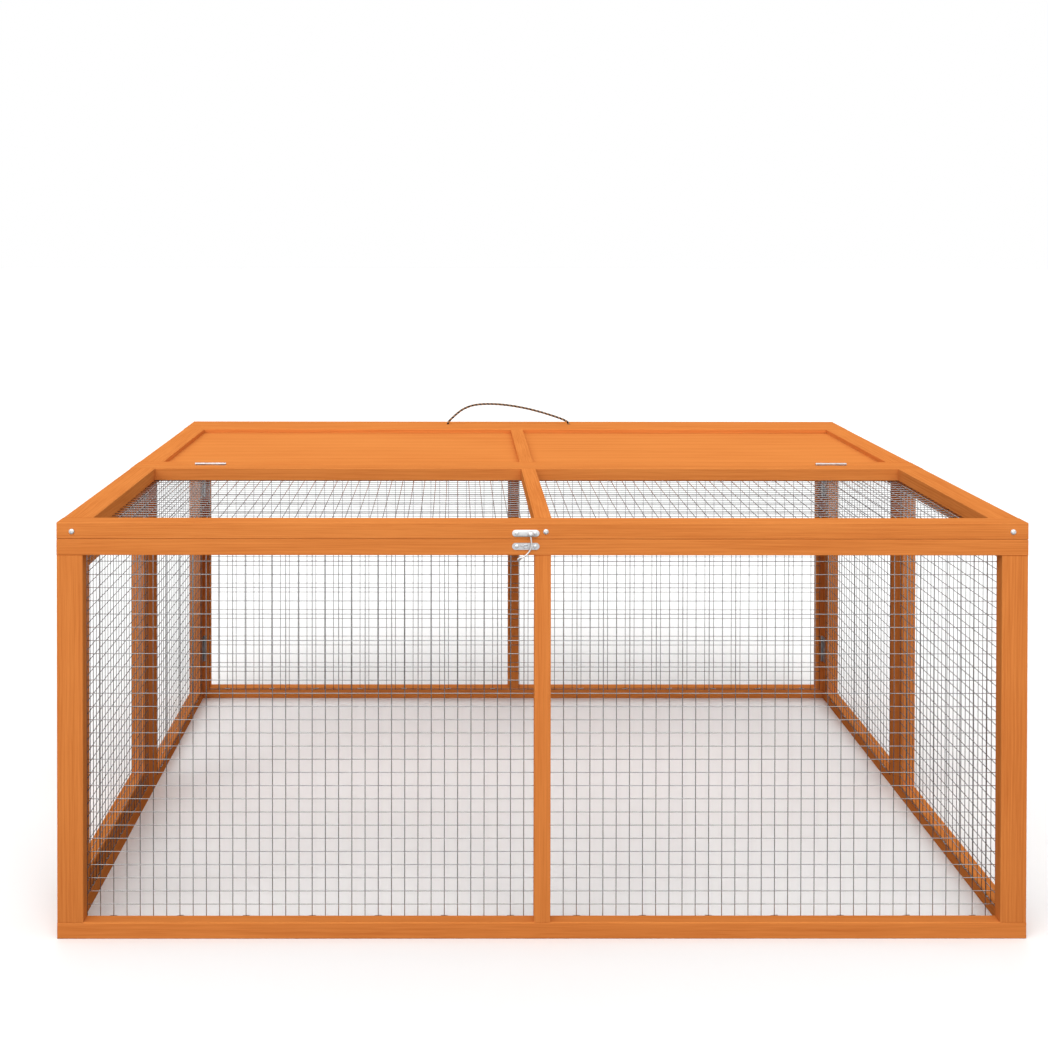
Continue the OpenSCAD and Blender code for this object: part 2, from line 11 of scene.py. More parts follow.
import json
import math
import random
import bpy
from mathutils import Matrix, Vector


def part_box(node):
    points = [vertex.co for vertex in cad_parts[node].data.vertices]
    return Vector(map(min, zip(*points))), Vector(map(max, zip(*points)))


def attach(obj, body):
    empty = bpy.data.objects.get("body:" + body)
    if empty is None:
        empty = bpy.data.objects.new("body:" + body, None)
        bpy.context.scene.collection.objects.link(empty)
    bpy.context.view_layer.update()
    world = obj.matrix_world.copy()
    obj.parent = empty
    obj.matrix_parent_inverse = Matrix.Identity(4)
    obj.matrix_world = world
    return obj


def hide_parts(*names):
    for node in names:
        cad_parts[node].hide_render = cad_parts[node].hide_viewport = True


bl_info = {
    "name": "Rabbit Run",
    "version": (1, 0, 0),
    "blender": (4, 5, 0),
    "location": "3D View > Sidebar > Rabbit Run",
    "description": "Finishes and fittings of a folding outdoor run for rabbits",
    "category": "Object",
}

import bmesh
import bpy
from mathutils import Matrix, Vector

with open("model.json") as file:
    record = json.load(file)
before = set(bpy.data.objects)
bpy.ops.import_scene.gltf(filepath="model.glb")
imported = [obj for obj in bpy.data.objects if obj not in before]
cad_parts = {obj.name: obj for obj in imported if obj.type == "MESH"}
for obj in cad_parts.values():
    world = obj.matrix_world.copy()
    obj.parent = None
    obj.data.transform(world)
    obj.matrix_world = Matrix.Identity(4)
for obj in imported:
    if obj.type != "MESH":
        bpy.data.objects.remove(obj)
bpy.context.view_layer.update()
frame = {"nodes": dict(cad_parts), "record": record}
BODIES = frame["record"]["behaviour"]["bodies"]
MM = 0.001


# --------------------------------------------------------------------- objects


def added(name, data):
    """A new object in the scene."""
    made = bpy.data.objects.new(name, data)
    bpy.context.scene.collection.objects.link(made)
    return made


def applied(made):
    """The object's mesh with its modifiers applied. The object is removed."""
    graph = bpy.context.evaluated_depsgraph_get()
    mesh = bpy.data.meshes.new_from_object(made.evaluated_get(graph), depsgraph=graph)
    bpy.data.objects.remove(made)
    return mesh


# ------------------------------------------------------------------ node trees


class Num:
    """A number in a node tree, so that maths on it is written as Python."""

    def __init__(self, maker, socket):
        self.maker = maker
        self.socket = socket

    def __add__(self, other):
        return self.maker.math("ADD", self, other)

    def __radd__(self, other):
        return self.maker.math("ADD", other, self)

    def __sub__(self, other):
        return self.maker.math("SUBTRACT", self, other)

    def __rsub__(self, other):
        return self.maker.math("SUBTRACT", other, self)

    def __mul__(self, other):
        return self.maker.math("MULTIPLY", self, other)

    def __rmul__(self, other):
        return self.maker.math("MULTIPLY", other, self)

    def __truediv__(self, other):
        return self.maker.math("DIVIDE", self, other)

    def __pow__(self, other):
        return self.maker.math("POWER", self, other)


class Maker:
    """Adds nodes to one tree."""

    def __init__(self, tree):
        self.tree = tree

    def node(self, kind, settings=None, sockets=None):
        """A new node: its settings are set first, then a value or a link for each socket."""
        node = self.tree.nodes.new(kind)
        for name, value in (settings or {}).items():
            setattr(node, name, value)
        for name, value in (sockets or {}).items():
            for single in value if isinstance(value, list) else [value]:
                self.feed(single, node.inputs[name])
        return node

    def feed(self, value, socket):
        """Links value to the socket, or sets it as the socket's own value."""
        if isinstance(value, Num):
            value = value.socket
        if isinstance(value, bpy.types.NodeSocket):
            self.tree.links.new(value, socket)
        else:
            socket.default_value = value

    def math(self, operation, a, b=0.0):
        node = self.node("ShaderNodeMath", {"operation": operation}, {0: a, 1: b})
        return Num(self, node.outputs[0])

    def vector(self, x, y, z):
        return self.node("ShaderNodeCombineXYZ", None, {"X": x, "Y": y, "Z": z}).outputs[0]

    def rise(self, value, low, high, bottom=0.0, top=1.0):
        """Goes smoothly from bottom to top as value goes from low to high."""
        settings = {"interpolation_type": "SMOOTHSTEP"}
        sockets = {"Value": value, "From Min": low, "From Max": high}
        sockets.update({"To Min": bottom, "To Max": top})
        return Num(self, self.node("ShaderNodeMapRange", settings, sockets).outputs[0])

    def hill(self, value, low, top, fall, foot, after=0.0):
        """Rises from 0 to 1 between low and top, and falls to after between fall and foot."""
        return self.rise(value, low, top) * self.rise(value, fall, foot, 1.0, after)

    def coordinates(self, kind):
        """The three numbers of one output of a Texture Coordinate node."""
        point = self.node("ShaderNodeTexCoord").outputs[kind]
        split = self.node("ShaderNodeSeparateXYZ", None, {0: point})
        return [Num(self, out) for out in split.outputs]


class Finish(Maker):
    """A material with one Principled shader, whose constant sockets are given by name."""

    def __init__(self, name, constants):
        self.material = bpy.data.materials.new(name)
        self.material.use_nodes = True
        super().__init__(self.material.node_tree)
        self.tree.nodes.clear()
        self.shader = self.node("ShaderNodeBsdfPrincipled", None, constants)
        self.node("ShaderNodeOutputMaterial", None, {"Surface": self.shader.outputs[0]})

    def set(self, name, value):
        self.feed(value, self.shader.inputs[name])

    def noise(self, x, y, z, detail=2.0, roughness=0.5):
        """Noise from 0 to 1, with a feature about one unit long each way."""
        sockets = {"Vector": self.vector(x, y, z), "Scale": 1.0}
        sockets.update({"Detail": detail, "Roughness": roughness})
        return Num(self, self.node("ShaderNodeTexNoise", None, sockets).outputs[0])

    def mix(self, share, a, b):
        """Colour a where share is 0 and colour b where it is 1."""
        settings = {"data_type": "RGBA"}
        return self.node("ShaderNodeMix", settings, {0: share, 6: a, 7: b}).outputs[2]

    def tones(self, share, colour, dark, light):
        """Base colour: the colour darker by dark where share is 0, lighter by light where 1."""
        self.set("Base Color", self.mix(share, tinted(colour, -dark), tinted(colour, light)))

    def bump(self, height, distance, strength=1.0):
        sockets = {"Height": height, "Distance": distance, "Strength": strength}
        self.set("Normal", self.node("ShaderNodeBump", None, sockets).outputs[0])


class Recipe(Maker):
    """A Geometry Nodes tree with named inputs, which ends in one material."""

    KINDS = {
        "count": "NodeSocketInt",
        "size": "NodeSocketFloat",
        "object": "NodeSocketObject",
        "material": "NodeSocketMaterial",
        "geometry": "NodeSocketGeometry",
    }

    def __init__(self, name, inputs):
        super().__init__(bpy.data.node_groups.new(name, "GeometryNodeTree"))
        self.keys = {}
        add = self.tree.interface.new_socket
        for label, kind in inputs.items():
            item = add(label, in_out="INPUT", socket_type=self.KINDS[kind])
            self.keys[label] = item.identifier
        add("Geometry", in_out="OUTPUT", socket_type=self.KINDS["geometry"])
        self.given = self.node("NodeGroupInput").outputs

    def number(self, label):
        return Num(self, self.given[label])

    def finish(self, geometry, material):
        """Realizes the instances, sets the material and ends the tree."""
        real = self.node("GeometryNodeRealizeInstances", None, {"Geometry": geometry}).outputs[0]
        sockets = {"Geometry": real, "Material": material}
        done = self.node("GeometryNodeSetMaterial", None, sockets).outputs[0]
        self.node("NodeGroupOutput", None, {"Geometry": done})

    def mesh(self, values, base=None):
        """The plain mesh that the tree makes with these inputs, on base if it is given."""
        carrier = added("carrier", base or bpy.data.meshes.new("carrier"))
        modifier = carrier.modifiers.new("recipe", "NODES")
        modifier.node_group = self.tree
        for label, value in values.items():
            modifier[self.keys[label]] = value
        return applied(carrier)


# ---------------------------------------------------------------------- sizes


class RunSizes(bpy.types.PropertyGroup):
    """Sizes that the fittings share with the frame's own."""

    wire: bpy.props.FloatProperty(
        name="Wire", description="Diameter of a mesh wire",
        default=1.0 * MM, unit="LENGTH", precision=4,
    )
    pitch: bpy.props.FloatProperty(
        name="Pitch", description="Spacing of the mesh wires",
        default=16.4 * MM, unit="LENGTH", precision=4,
    )
    hinge_length: bpy.props.FloatProperty(
        name="Hinge length", description="Length of a butt hinge",
        default=47 * MM, unit="LENGTH", precision=4,
    )
    leaf_width: bpy.props.FloatProperty(
        name="Leaf width", description="Width of a hinge leaf",
        default=15 * MM, unit="LENGTH", precision=4,
    )
    rope: bpy.props.FloatProperty(
        name="Rope", description="Diameter of the rope",
        default=4 * MM, unit="LENGTH", precision=4,
    )
    lay: bpy.props.FloatProperty(
        name="Lay", description="Length of one turn of a strand",
        default=7.2 * MM, unit="LENGTH", precision=4,
    )


class RunColours(bpy.types.PropertyGroup):
    """Colours of the finishes, linear."""

    stain_light: bpy.props.FloatVectorProperty(
        name="Stain, light", description="Stain on early wood",
        subtype="COLOR", size=4, default=(0.705, 0.243, 0.0585, 1.0),
    )
    stain_dark: bpy.props.FloatVectorProperty(
        name="Stain, dark", description="Stain on late wood and in the pores",
        subtype="COLOR", size=4, default=(0.495, 0.130, 0.0255, 1.0),
    )
    zinc: bpy.props.FloatVectorProperty(
        name="Zinc", description="Hot-dipped wire",
        subtype="COLOR", size=4, default=(0.35, 0.355, 0.36, 1.0),
    )
    plating: bpy.props.FloatVectorProperty(
        name="Plating", description="Bright zinc plating",
        subtype="COLOR", size=4, default=(0.62, 0.63, 0.65, 1.0),
    )
    rope_dark: bpy.props.FloatVectorProperty(
        name="Rope, dark", description="Dark strands of the rope",
        subtype="COLOR", size=4, default=(0.016, 0.009, 0.005, 1.0),
    )
    rope_light: bpy.props.FloatVectorProperty(
        name="Rope, light", description="Light strands of the rope",
        subtype="COLOR", size=4, default=(0.42, 0.26, 0.14, 1.0),
    )


def sizes():
    return bpy.context.scene.run_sizes


def colours():
    return bpy.context.scene.run_colours


# ------------------------------------------------------------------- finishes


def tinted(colour, share):
    """The colour, lighter or darker by that share."""
    return tuple(min(1.0, c * (1 + share)) for c in colour[:3]) + (1.0,)


# Nodes that hold two like sticks: the axis from one to the other, and a stick's width.
TWINS = {"left_door_rails": (2, 29 * MM), "left_door_stiles": (1, 29 * MM)}

# In the finishes, what multiplies a coordinate is how many features fit in a metre.


def stained_fir(node, seed):
    """Fine straight grain along the stick, with growth rings that show on its ends."""
    low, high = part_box(node)
    chance = random.Random(seed)
    finish = Finish(f"stained_fir.{node}", {"Specular IOR Level": 0.0})
    place = finish.coordinates("Object")
    if node in TWINS:
        # the second stick takes the first one's rings, at another length of the grain
        axis, width = TWINS[node]
        second = finish.math("GREATER_THAN", place[axis], (low[axis] + high[axis]) / 2)
        place[axis] = place[axis] - second * (high[axis] - low[axis] - width)
        high[axis] = low[axis] + width
    size = high - low
    middle = (low + high) / 2
    grain = max(range(3), key=lambda axis: size[axis])
    across = [axis for axis in range(3) if axis != grain]
    along, u, v = place[grain], place[across[0]], place[across[1]]
    shift = chance.uniform(-40, 40)
    if node in TWINS:
        shift = shift + second * 17
    # rings about a pith outside the stick
    turn = chance.uniform(0, 2 * math.pi)
    reach = chance.uniform(30, 70) * MM
    du = u - (middle[across[0]] + reach * math.cos(turn))
    dv = v - (middle[across[1]] + reach * math.sin(turn))
    wobble = finish.noise(along * 3.0 + shift, u * 22, v * 22)
    radius = (du * du + dv * dv) ** 0.5 + wobble * (14 * MM)
    ring = chance.uniform(2.7, 3.6) * MM
    part = finish.math("FRACT", radius / ring)
    late = finish.hill(part, 0.35, 0.9, 0.9, 1.0)
    fibre = finish.noise(along * 24 + shift, u * 1100, v * 1100, detail=3.0)
    streak = finish.noise(along * 5 - shift, u * 340, v * 340, detail=3.0, roughness=0.6)
    band = finish.noise(along * 2.5 + shift, u * 90, v * 90, detail=2.0)
    blotch = finish.noise(along * 7 + shift, u * 30, v * 30)
    # the stain is thinner on the arrises and darker on the open ends
    gaps = [finish.math("MINIMUM", place[i] - low[i], high[i] - place[i]) for i in across]
    arris = finish.rise(finish.math("MAXIMUM", *gaps), 0.2 * MM, 1.6 * MM, 1.0, 0.0)
    end = finish.math("MINIMUM", along - low[grain], high[grain] - along)
    end_grain = finish.rise(end, 0.1 * MM, 1.2 * MM, 1.0, 0.0)
    depth = late * 0.12 + (fibre - 0.5) * 0.7 + (streak - 0.5) * 0.75
    depth = depth + (blotch - 0.5) * 0.4 + 0.31 + (band - 0.5) * 0.45
    depth = finish.rise(depth - arris * 0.22 + end_grain * 0.3, -0.1, 1.1)
    # no two sticks are quite the same tone
    tone = chance.uniform(-0.045, 0.03)
    light = tinted(colours().stain_light, tone)
    dark = tinted(colours().stain_dark, tone)
    finish.set("Base Color", finish.mix(depth, light, dark))
    finish.set("Roughness", 0.6 + fibre * 0.16 + end_grain * 0.15)
    finish.bump(fibre * 0.6 + streak * 0.5 - late * 0.15, 0.25 * MM, 0.5)
    return finish.material


def stained_ply(node, seed):
    """Rotary-cut veneer with a wide, quiet figure, under the same stain."""
    chance = random.Random(seed)
    finish = Finish(f"stained_ply.{node}", {"Specular IOR Level": 0.0})
    x, y, z = finish.coordinates("Object")
    shift = chance.uniform(-30, 30)
    wobble = finish.noise(x * 2.4 + shift, y * 9, z * 9, detail=1.0)
    part = finish.math("FRACT", (y + wobble * 0.05) * 26)
    figure = finish.hill(part, 0.1, 0.8, 0.8, 1.0)
    fibre = finish.noise(x * 30 + shift, y * 900, z * 900, detail=3.0)
    streak = finish.noise(x * 4 + shift, y * 120, z * 120, detail=3.0, roughness=0.6)
    blotch = finish.noise(x * 5 - shift, y * 7, z * 7)
    depth = figure * 0.16 + (fibre - 0.5) * 0.4 + (streak - 0.5) * 0.6
    share = finish.rise(depth + (blotch - 0.5) * 0.5 + 0.2, -0.15, 1.2)
    light = tinted(colours().stain_light, 0.02)
    dark = tinted(colours().stain_dark, 0.06)
    finish.set("Base Color", finish.mix(share, light, dark))
    finish.set("Roughness", 0.62 + fibre * 0.12)
    finish.bump(fibre * 0.5 + streak * 0.4, 0.2 * MM, 0.4)
    return finish.material


def galvanised():
    """Zinc with a faint spangle and a fine grain."""
    finish = Finish("galvanised_wire", {"Metallic": 1.0})
    x, y, z = finish.coordinates("Object")
    cloud = finish.noise(x * 90, y * 90, z * 90, detail=3.0)
    grain = finish.noise(x * 1500, y * 1500, z * 1500, detail=2.0)
    share = finish.rise(cloud * 0.6 + grain * 0.4, 0.3, 0.7)
    finish.tones(share, colours().zinc, 0.22, 0.18)
    finish.set("Roughness", 0.16 + grain * 0.14)
    finish.bump(grain, 0.06 * MM, 0.5)
    return finish.material


def plated():
    """Bright plating, faintly clouded and brushed by the press."""
    finish = Finish("plated_steel", {"Metallic": 1.0})
    x, y, z = finish.coordinates("Object")
    cloud = finish.noise(x * 160, y * 160, z * 160, detail=3.0)
    scratch = finish.noise(x * 500, y * 500, z * 4000, detail=2.0)
    finish.tones(finish.rise(cloud, 0.3, 0.7), colours().plating, 0.12, 0.05)
    finish.set("Roughness", 0.2 + cloud * 0.14 + scratch * 0.08)
    finish.bump(cloud * 0.4 + scratch * 0.6, 0.05 * MM, 0.35)
    return finish.material


def yarn(name, colour):
    """One strand's fibres, wound the other way to the lay of the rope."""
    constants = {"Specular IOR Level": 0.1, "Sheen Weight": 0.05, "Sheen Roughness": 0.5}
    finish = Finish(name, constants)
    length, round_it, _ = finish.coordinates("UV")
    wound = finish.math("FRACT", length * 520 + round_it * 5)
    thread = finish.hill(wound, 0.0, 0.5, 0.5, 1.0)
    fluff = finish.noise(length * 900, round_it * 14, 0.0, detail=3.0)
    share = finish.rise(thread * 0.6 + fluff * 0.5, 0.15, 0.95)
    finish.tones(share, colour, 0.42, 0.22)
    finish.set("Roughness", 0.74 + fluff * 0.16)
    finish.bump(thread * 0.7 + fluff * 0.4, 0.18 * MM, 0.8)
    return finish.material


# -------------------------------------------------------------------- meshing


def piece(name, mesh, materials, body, replaced=()):
    """A finished object that rides on a body and stands for the CAD nodes named."""
    mesh.name = name
    # a recipe leaves a slot of its own; on a mesh without one, clear() would undo the
    # faces' material indices
    if mesh.materials:
        mesh.materials.clear()
    for material in materials:
        mesh.materials.append(material)
    made = added(name, mesh)
    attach(made, body)
    if replaced:
        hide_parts(*replaced)
    return made


def placed(mesh, matrix):
    """The mesh moved by the matrix, with its faces still outwards after a mirror."""
    mesh.transform(matrix)
    if matrix.determinant() < 0:
        mesh.flip_normals()
    return mesh


def written(solid, mesh=None):
    """The mesh, or a new one, with what the bmesh holds. The bmesh is freed."""
    mesh = mesh or bpy.data.meshes.new("shape")
    solid.to_mesh(mesh)
    solid.free()
    return mesh


def joined(meshes):
    """One mesh of several. Their material indices are kept."""
    whole = bmesh.new()
    for mesh in meshes:
        whole.from_mesh(mesh)
        bpy.data.meshes.remove(mesh)
    return written(whole)


def smooth(mesh, angle=40.0):
    """Smooth shading, with edges sharper than the angle kept."""
    solid = bmesh.new()
    solid.from_mesh(mesh)
    for face in solid.faces:
        face.smooth = True
    for edge in solid.edges:
        if len(edge.link_faces) == 2:
            edge.smooth = edge.calc_face_angle() < math.radians(angle)
    return written(solid, mesh)


def shape(vertices, faces):
    mesh = bpy.data.meshes.new("shape")
    mesh.from_pydata(vertices, [], faces)
    return mesh


def lathe(profile, sides=32):
    """Turns the (radius, height) profile about z. It starts and ends on the axis."""
    inner = profile[1:-1]
    vertices = [(0, 0, profile[0][1])]
    for radius, height in inner:
        for k in range(sides):
            a = 2 * math.pi * k / sides
            vertices.append((radius * math.cos(a), radius * math.sin(a), height))
    vertices.append((0, 0, profile[-1][1]))
    last = len(vertices) - 1
    faces = []
    for k in range(sides):
        n = (k + 1) % sides
        faces.append((0, 1 + n, 1 + k))
        for i in range(len(inner) - 1):
            a = 1 + i * sides
            faces.append((a + k, a + n, a + sides + n, a + sides + k))
        b = last - sides
        faces.append((last, b + k, b + n))
    return smooth(shape(vertices, faces), 35)


def slab(outline, low, high, ease, steps=2):
    """The outline, anticlockwise, from z = low to high, with its top edge rounded by ease."""
    solid = bmesh.new()
    base = [solid.verts.new((x, y, low)) for x, y in outline]
    solid.faces.new(list(reversed(base)))
    top = [solid.verts.new((x, y, high)) for x, y in outline]
    lid = solid.faces.new(top)
    for k in range(len(base)):
        n = (k + 1) % len(base)
        solid.faces.new((base[k], base[n], top[n], top[k]))
    edges = list(lid.edges)
    bmesh.ops.bevel(solid, geom=edges, offset=ease, segments=steps, profile=0.5, affect="EDGES")
    return smooth(written(solid), 50)


def lengths_to(points):
    """The length of the line up to each of its points."""
    lengths = [0.0]
    for a, b in zip(points, points[1:]):
        lengths.append(lengths[-1] + (b - a).length)
    return lengths


def frames_along(points):
    """A side and an up direction at each point, carried along without twist."""
    frames = []
    side = None
    for i, point in enumerate(points):
        before = points[max(i - 1, 0)]
        after = points[min(i + 1, len(points) - 1)]
        ahead = (after - before).normalized()
        if side is None:
            side = ahead.orthogonal().normalized()
        side = (side - ahead * side.dot(ahead)).normalized()
        frames.append((side, ahead.cross(side)))
    return frames


def tube(points, size_at, sides=10, slot=0):
    """A closed tube along the points. size_at(i) gives its two half widths at point i.

    Its UV map has the length along it, in metres, and the share of a turn round it.
    """
    frames = frames_along(points)
    vertices = []
    for i, (point, (side, up)) in enumerate(zip(points, frames)):
        wide, thick = size_at(i)
        for k in range(sides):
            a = 2 * math.pi * k / sides
            vertices.append(point + side * (wide * math.cos(a)) + up * (thick * math.sin(a)))
    faces = []
    for i in range(len(points) - 1):
        for k in range(sides):
            n = (k + 1) % sides
            a, b = i * sides, (i + 1) * sides
            faces.append((a + k, a + n, b + n, b + k))
    end = (len(points) - 1) * sides
    faces.append(tuple(reversed(range(sides))))
    faces.append(tuple(range(end, end + sides)))
    mesh = shape(vertices, faces)
    lengths = lengths_to(points)
    layer = mesh.uv_layers.new(name="UVMap")
    for face in mesh.polygons:
        face.material_index = slot
        quad = face.index < end
        for j, loop in enumerate(face.loop_indices):
            ring, k = divmod(mesh.loops[loop].vertex_index, sides)
            across = (k if k or not quad or j in (0, 3) else sides) / sides
            layer.data[loop].uv = (lengths[ring], across)
    return smooth(mesh, 60)


def spline(points, step):
    """Points about a step apart on a smooth curve through the given ones."""
    line = []
    for i in range(len(points) - 1):
        a = points[max(i - 1, 0)]
        b = points[i]
        c = points[i + 1]
        d = points[min(i + 2, len(points) - 1)]
        count = max(1, round((c - b).length / step))
        for k in range(count):
            t = k / count
            square = 2 * a - 5 * b + 4 * c - d
            cube = 3 * b - a - 3 * c + d
            line.append(0.5 * (2 * b + (c - a) * t + square * t**2 + cube * t**3))
    line.append(points[-1])
    return line


# --------------------------------------------------------------- welded mesh

SHEETS = [node for nodes in BODIES.values() for node in nodes if node.endswith("_mesh")]

# How far the wires run past the outermost ones that cross them.
STUB = 1.0 * MM


def sheet_recipe():
    """Round wires both ways about the origin, from z = 0 up, with a bead at each weld."""
    inputs = {"Columns": "count", "Rows": "count", "Finish": "material"}
    inputs.update({"Pitch": "size", "Radius": "size", "Stub": "size"})
    recipe = Recipe("welded_sheet", inputs)
    columns, rows = recipe.number("Columns"), recipe.number("Rows")
    pitch, radius, stub = [recipe.number(label) for label in ("Pitch", "Radius", "Stub")]
    half_w = (columns - 1) * pitch * 0.5
    half_h = (rows - 1) * pitch * 0.5
    sockets = {"Resolution": 8, "Radius": radius}
    ring = recipe.node("GeometryNodeCurvePrimitiveCircle", None, sockets)

    def wires(reach, count, start, step, along):
        """Wires along one axis, of reach and a stub each way: one at start, then each a step on."""
        low = recipe.vector(*[(0 - reach - stub) if axis == along else 0.0 for axis in range(3)])
        high = recipe.vector(*[(reach + stub) if axis == along else 0.0 for axis in range(3)])
        line = recipe.node("GeometryNodeCurvePrimitiveLine", None, {"Start": low, "End": high})
        sockets = {"Curve": line.outputs[0], "Profile Curve": ring.outputs[0], "Fill Caps": True}
        wire = recipe.node("GeometryNodeCurveToMesh", None, sockets)
        sockets = {"Count": count, "Start Location": start, "Offset": step}
        places = recipe.node("GeometryNodeMeshLine", None, sockets)
        sockets = {"Points": places.outputs[0], "Instance": wire.outputs[0]}
        return recipe.node("GeometryNodeInstanceOnPoints", None, sockets).outputs[0]

    start = recipe.vector(0.0, 0 - half_h, radius)
    under = wires(half_w, rows, start, recipe.vector(0.0, pitch, 0.0), 0)
    # the upper wires are sunk a little into the lower ones, as the weld leaves them
    start = recipe.vector(0 - half_w, 0.0, radius * 2.9)
    over = wires(half_h, columns, start, recipe.vector(pitch, 0.0, 0.0), 1)
    sockets = {"Size X": half_w * 2, "Size Y": half_h * 2}
    sockets.update({"Vertices X": columns, "Vertices Y": rows})
    crossings = recipe.node("GeometryNodeMeshGrid", None, sockets)
    lift = {"Geometry": crossings.outputs[0], "Translation": recipe.vector(0.0, 0.0, radius * 1.95)}
    raised = recipe.node("GeometryNodeTransform", None, lift)
    sockets = {"Radius": radius * 1.28, "Subdivisions": 1}
    bead = recipe.node("GeometryNodeMeshIcoSphere", None, sockets)
    sockets = {"Points": raised.outputs[0], "Instance": bead.outputs[0], "Scale": (1.0, 1.0, 0.8)}
    beads = recipe.node("GeometryNodeInstanceOnPoints", None, sockets)
    whole = recipe.node("GeometryNodeJoinGeometry", None, {0: [under, over, beads.outputs[0]]})
    recipe.finish(whole.outputs[0], recipe.given["Finish"])
    return recipe


def upright(right, out, point):
    """Stands a drawing up at the point. right and out are its x and z seen from above."""
    rows = [(right[i], 0, out[i], point[i]) for i in range(2)]
    return Matrix((*rows, (0, 1, 0, point[2]), (0, 0, 0, 1)))


def sheet_place(node):
    """The matrix that puts a sheet drawn in x and y, on its wood at z = 0, where the node is."""
    low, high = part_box(node)
    middle = (low + high) / 2
    if node == "lid_mesh":
        return Matrix.Translation((middle.x, middle.y, low.z))
    if node in ("front_mesh", "rear_mesh"):
        inward = 1 if node == "front_mesh" else -1
        wood = low.y if inward > 0 else high.y
        return upright((1, 0), (0, inward), (middle.x, wood, middle.z))
    inward = 1 if node.startswith("left") else -1
    wood = low.x if inward > 0 else high.x
    return upright((0, 1), (inward, 0), (wood, middle.y, middle.z))


def sheet_size(node):
    """How long and how high a sheet is between its outermost wires."""
    low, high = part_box(node)
    size = high - low
    long_side = size.y if node.startswith(("left", "right")) else size.x
    short_side = size.y if node == "lid_mesh" else size.z
    return long_side - 2 * STUB, short_side - 2 * STUB


def body_with(node):
    return next(body for body, nodes in BODIES.items() if node in nodes)


class RUN_OT_mesh(bpy.types.Operator):
    """Makes the welded mesh of the lid and the walls"""

    bl_idname = "run.mesh"
    bl_label = "Welded mesh"

    def execute(self, context):
        recipe = sheet_recipe()
        wire = galvanised()
        pitch = sizes().pitch
        for node in SHEETS:
            long_side, short_side = sheet_size(node)
            values = {
                "Columns": round(long_side / pitch) + 1,
                "Rows": round(short_side / pitch) + 1,
                "Pitch": pitch,
                "Radius": sizes().wire / 2,
                "Stub": STUB,
                "Finish": wire,
            }
            mesh = placed(smooth(recipe.mesh(values), 70), sheet_place(node))
            piece(f"wires.{node}", mesh, [wire], body_with(node), [node])
        return {"FINISHED"}


# ----------------------------------------------------------------- fasteners


def fastener_recipe():
    """One pattern at each point, its z along the point's aim and its x along its lie."""
    inputs = {"Places": "geometry", "Pattern": "object", "Finish": "material"}
    recipe = Recipe("fasteners", inputs)
    sockets = {}
    for key, axis in (("aim", "Primary Axis"), ("lie", "Secondary Axis")):
        settings = {"data_type": "FLOAT_VECTOR"}
        named = recipe.node("GeometryNodeInputNamedAttribute", settings, {"Name": key})
        sockets[axis] = named.outputs[0]
    settings = {"primary_axis": "Z", "secondary_axis": "X"}
    turned = recipe.node("FunctionNodeAxesToRotation", settings, sockets)
    pattern = recipe.node("GeometryNodeObjectInfo", None, {"Object": recipe.given["Pattern"]})
    sockets = {
        "Points": recipe.given["Places"],
        "Instance": pattern.outputs["Geometry"],
        "Rotation": turned.outputs[0],
    }
    copies = recipe.node("GeometryNodeInstanceOnPoints", None, sockets)
    recipe.finish(copies.outputs[0], recipe.given["Finish"])
    return recipe


def fastened(recipe, pattern, places, finish):
    """A mesh of the pattern at each (point, aim, lie)."""
    base = bpy.data.meshes.new("places")
    base.from_pydata([p for p, _, _ in places], [], [])
    for key, column in (("aim", 1), ("lie", 2)):
        layer = base.attributes.new(key, "FLOAT_VECTOR", "POINT")
        for entry, place in zip(layer.data, places):
            entry.vector = place[column]
    mesh = recipe.mesh({"Pattern": pattern, "Finish": finish}, base)
    for key in ("aim", "lie"):
        if key in mesh.attributes:
            mesh.attributes.remove(mesh.attributes[key])
    return mesh


def screw_head(radius, dome, recess):
    """A domed head on z = 0 with a cross recess cut into it."""
    steps = 6
    sunk = -0.4 * MM
    profile = [(0, sunk), (radius * 0.7, sunk), (radius, 0.0)]
    for k in range(1, steps):
        a = math.pi / 2 * k / steps
        profile.append((radius * math.cos(a), dome * math.sin(a)))
    profile.append((0, dome))
    head = added("head", lathe(profile, 24))
    arm, width = radius * 0.52, radius * 0.17
    outline = []
    for turn in range(4):
        c, s = math.cos(turn * math.pi / 2), math.sin(turn * math.pi / 2)
        for x, y in ((arm, -width), (arm, width), (width, width)):
            outline.append((x * c - y * s, x * s + y * c))
    cutter = added("cutter", slab(outline, dome - recess, dome + 1 * MM, 0.01 * MM, 1))
    cut = head.modifiers.new("recess", "BOOLEAN")
    cut.operation = "DIFFERENCE"
    cut.solver = "EXACT"
    cut.object = cutter
    mesh = applied(head)
    bpy.data.objects.remove(cutter)
    return smooth(mesh, 35)


